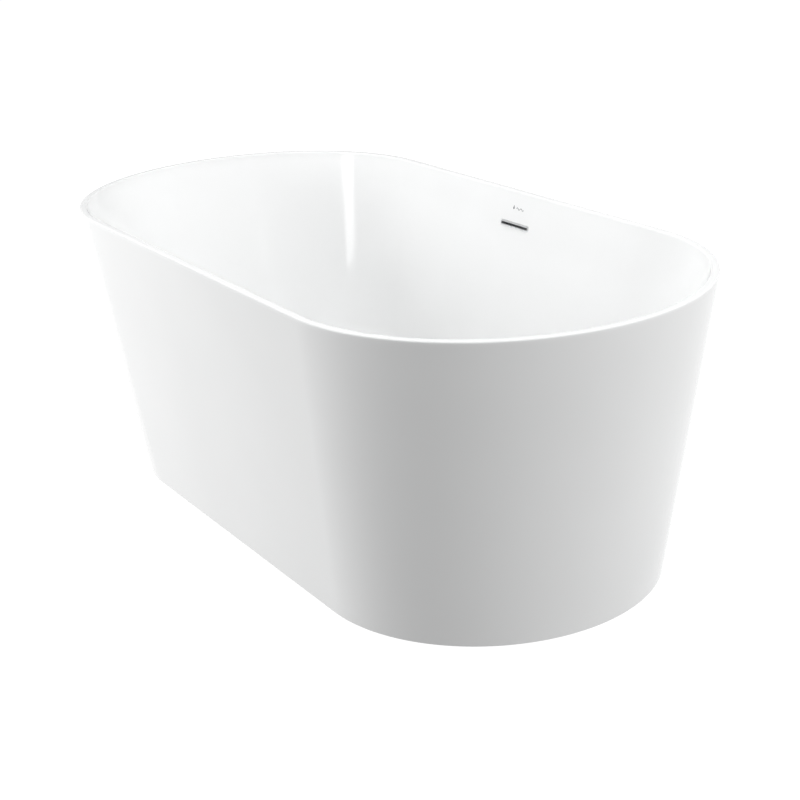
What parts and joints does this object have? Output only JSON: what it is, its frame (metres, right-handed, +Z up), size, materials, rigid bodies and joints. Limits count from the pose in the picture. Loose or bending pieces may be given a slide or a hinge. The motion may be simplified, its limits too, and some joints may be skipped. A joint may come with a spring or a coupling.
{
  "type": "freestanding bathtub",
  "caption": "Freestanding double-ended bathtub with straight tapering sides, thin rounded rim, slot overflow, pop-up drain and levelling feet under a closed apron.",
  "frame": {"origin": "centre of the tub's outline on the floor, under the waste", "axes": "+X along the length, +Y towards the long side with the overflow, +Z up"},
  "size_m": [1.6982, 0.7992, 0.6],
  "materials": {
    "acrylic": "glossy white sanitary acrylic, rim and visible faces polished",
    "black_rubber": "black sealing rubber",
    "bonding_paste": "off-white filled bonding paste",
    "chrome": "polished chrome plate",
    "drain_plastic": "white moulded polypropylene",
    "foam": "closed-cell sealing foam",
    "foot_plastic": "black glass-filled nylon",
    "galvanised_steel": "zinc-coated steel, dull and spangled",
    "grey_plastic": "grey moulded plastic",
    "hose": "light grey corrugated polyethylene",
    "laminate": "sprayed glass-fibre and polyester resin, rough and slightly green",
    "plywood": "birch plywood with a resin-wetted face",
    "zinc_fastener": "bright zinc-plated fasteners"
  },
  "bodies": {
    "tub": {"basin": "acrylic", "basin_laminate": "laminate", "board_screws": "zinc_fastener", "bracket_back_left": "galvanised_steel", "bracket_back_right": "galvanised_steel", "bracket_bolts": "zinc_fastener", "bracket_front_left": "galvanised_steel", "bracket_front_right": "galvanised_steel", "crossbar_left": "galvanised_steel", "crossbar_mid": "galvanised_steel", "crossbar_right": "galvanised_steel", "drain_flange": "chrome", "drain_seal_lower": "black_rubber", "drain_seal_upper": "black_rubber", "drain_tee": "drain_plastic", "flange_screws": "zinc_fastener", "floor_board": "plywood", "frame_bolts": "zinc_fastener", "hose_clamp_lower": "zinc_fastener", "hose_clamp_upper": "zinc_fastener", "lock_nuts": "zinc_fastener", "outlet_pipe": "drain_plastic", "overflow_gasket": "foam", "overflow_hose": "hose", "overflow_housing": "drain_plastic", "overflow_trim": "chrome", "rail_back": "galvanised_steel", "rail_front": "galvanised_steel", "rim_bond": "bonding_paste", "skirt": "acrylic", "skirt_laminate": "laminate", "slip_nut": "grey_plastic", "slip_washer": "black_rubber", "stopper_cartridge": "grey_plastic", "weld_nuts": "zinc_fastener"},
    "stopper": {"stopper_cap": "chrome", "stopper_seal": "black_rubber", "stopper_stem": "chrome", "stopper_spring": "chrome"},
    "pad_front_left": {"foot_pad_front_left": "foot_plastic"},
    "stem_front_left": {"foot_stem_front_left": "zinc_fastener"},
    "pad_back_left": {"foot_pad_back_left": "foot_plastic"},
    "stem_back_left": {"foot_stem_back_left": "zinc_fastener"},
    "pad_front_mid": {"foot_pad_front_mid": "foot_plastic"},
    "stem_front_mid": {"foot_stem_front_mid": "zinc_fastener"},
    "pad_back_mid": {"foot_pad_back_mid": "foot_plastic"},
    "stem_back_mid": {"foot_stem_back_mid": "zinc_fastener"},
    "pad_front_right": {"foot_pad_front_right": "foot_plastic"},
    "stem_front_right": {"foot_stem_front_right": "zinc_fastener"},
    "pad_back_right": {"foot_pad_back_right": "foot_plastic"},
    "stem_back_right": {"foot_stem_back_right": "zinc_fastener"}
  },
  "joints": [
    {"name": "stopper_travel", "type": "slide", "parent": "tub", "child": "stopper", "axis": [0, 0, 1], "range_m": [0, 0.009], "deforming": ["stopper_spring"]},
    {"name": "foot_travel_front_left", "type": "slide", "parent": "tub", "child": "pad_front_left", "axis": [0, 0, -1], "range_m": [-0.0105, 0.0175]},
    {"name": "foot_screw_front_left", "type": "hinge", "parent": "pad_front_left", "child": "stem_front_left", "pos_m": [-0.38, -0.225, 0.08], "axis": [0, 0, -1], "range_deg": [-2200, 3640]},
    {"name": "foot_travel_back_left", "type": "slide", "parent": "tub", "child": "pad_back_left", "axis": [0, 0, -1], "range_m": [-0.0105, 0.0175]},
    {"name": "foot_screw_back_left", "type": "hinge", "parent": "pad_back_left", "child": "stem_back_left", "pos_m": [-0.38, 0.225, 0.08], "axis": [0, 0, -1], "range_deg": [-2200, 3640]},
    {"name": "foot_travel_front_mid", "type": "slide", "parent": "tub", "child": "pad_front_mid", "axis": [0, 0, -1], "range_m": [-0.0105, 0.0175]},
    {"name": "foot_screw_front_mid", "type": "hinge", "parent": "pad_front_mid", "child": "stem_front_mid", "pos_m": [-0.13, -0.225, 0.08], "axis": [0, 0, -1], "range_deg": [-2200, 3640]},
    {"name": "foot_travel_back_mid", "type": "slide", "parent": "tub", "child": "pad_back_mid", "axis": [0, 0, -1], "range_m": [-0.0105, 0.0175]},
    {"name": "foot_screw_back_mid", "type": "hinge", "parent": "pad_back_mid", "child": "stem_back_mid", "pos_m": [-0.13, 0.225, 0.08], "axis": [0, 0, -1], "range_deg": [-2200, 3640]},
    {"name": "foot_travel_front_right", "type": "slide", "parent": "tub", "child": "pad_front_right", "axis": [0, 0, -1], "range_m": [-0.0105, 0.0175]},
    {"name": "foot_screw_front_right", "type": "hinge", "parent": "pad_front_right", "child": "stem_front_right", "pos_m": [0.38, -0.225, 0.08], "axis": [0, 0, -1], "range_deg": [-2200, 3640]},
    {"name": "foot_travel_back_right", "type": "slide", "parent": "tub", "child": "pad_back_right", "axis": [0, 0, -1], "range_m": [-0.0105, 0.0175]},
    {"name": "foot_screw_back_right", "type": "hinge", "parent": "pad_back_right", "child": "stem_back_right", "pos_m": [0.38, 0.225, 0.08], "axis": [0, 0, -1], "range_deg": [-2200, 3640]}
  ],
  "couplings": [
    {"joint": "foot_screw_front_left", "follows": "foot_travel_front_left", "rad_per_m": 3590.4},
    {"joint": "foot_screw_back_left", "follows": "foot_travel_back_left", "rad_per_m": 3590.4},
    {"joint": "foot_screw_front_mid", "follows": "foot_travel_front_mid", "rad_per_m": 3590.4},
    {"joint": "foot_screw_back_mid", "follows": "foot_travel_back_mid", "rad_per_m": 3590.4},
    {"joint": "foot_screw_front_right", "follows": "foot_travel_front_right", "rad_per_m": 3590.4},
    {"joint": "foot_screw_back_right", "follows": "foot_travel_back_right", "rad_per_m": 3590.4}
  ]
}
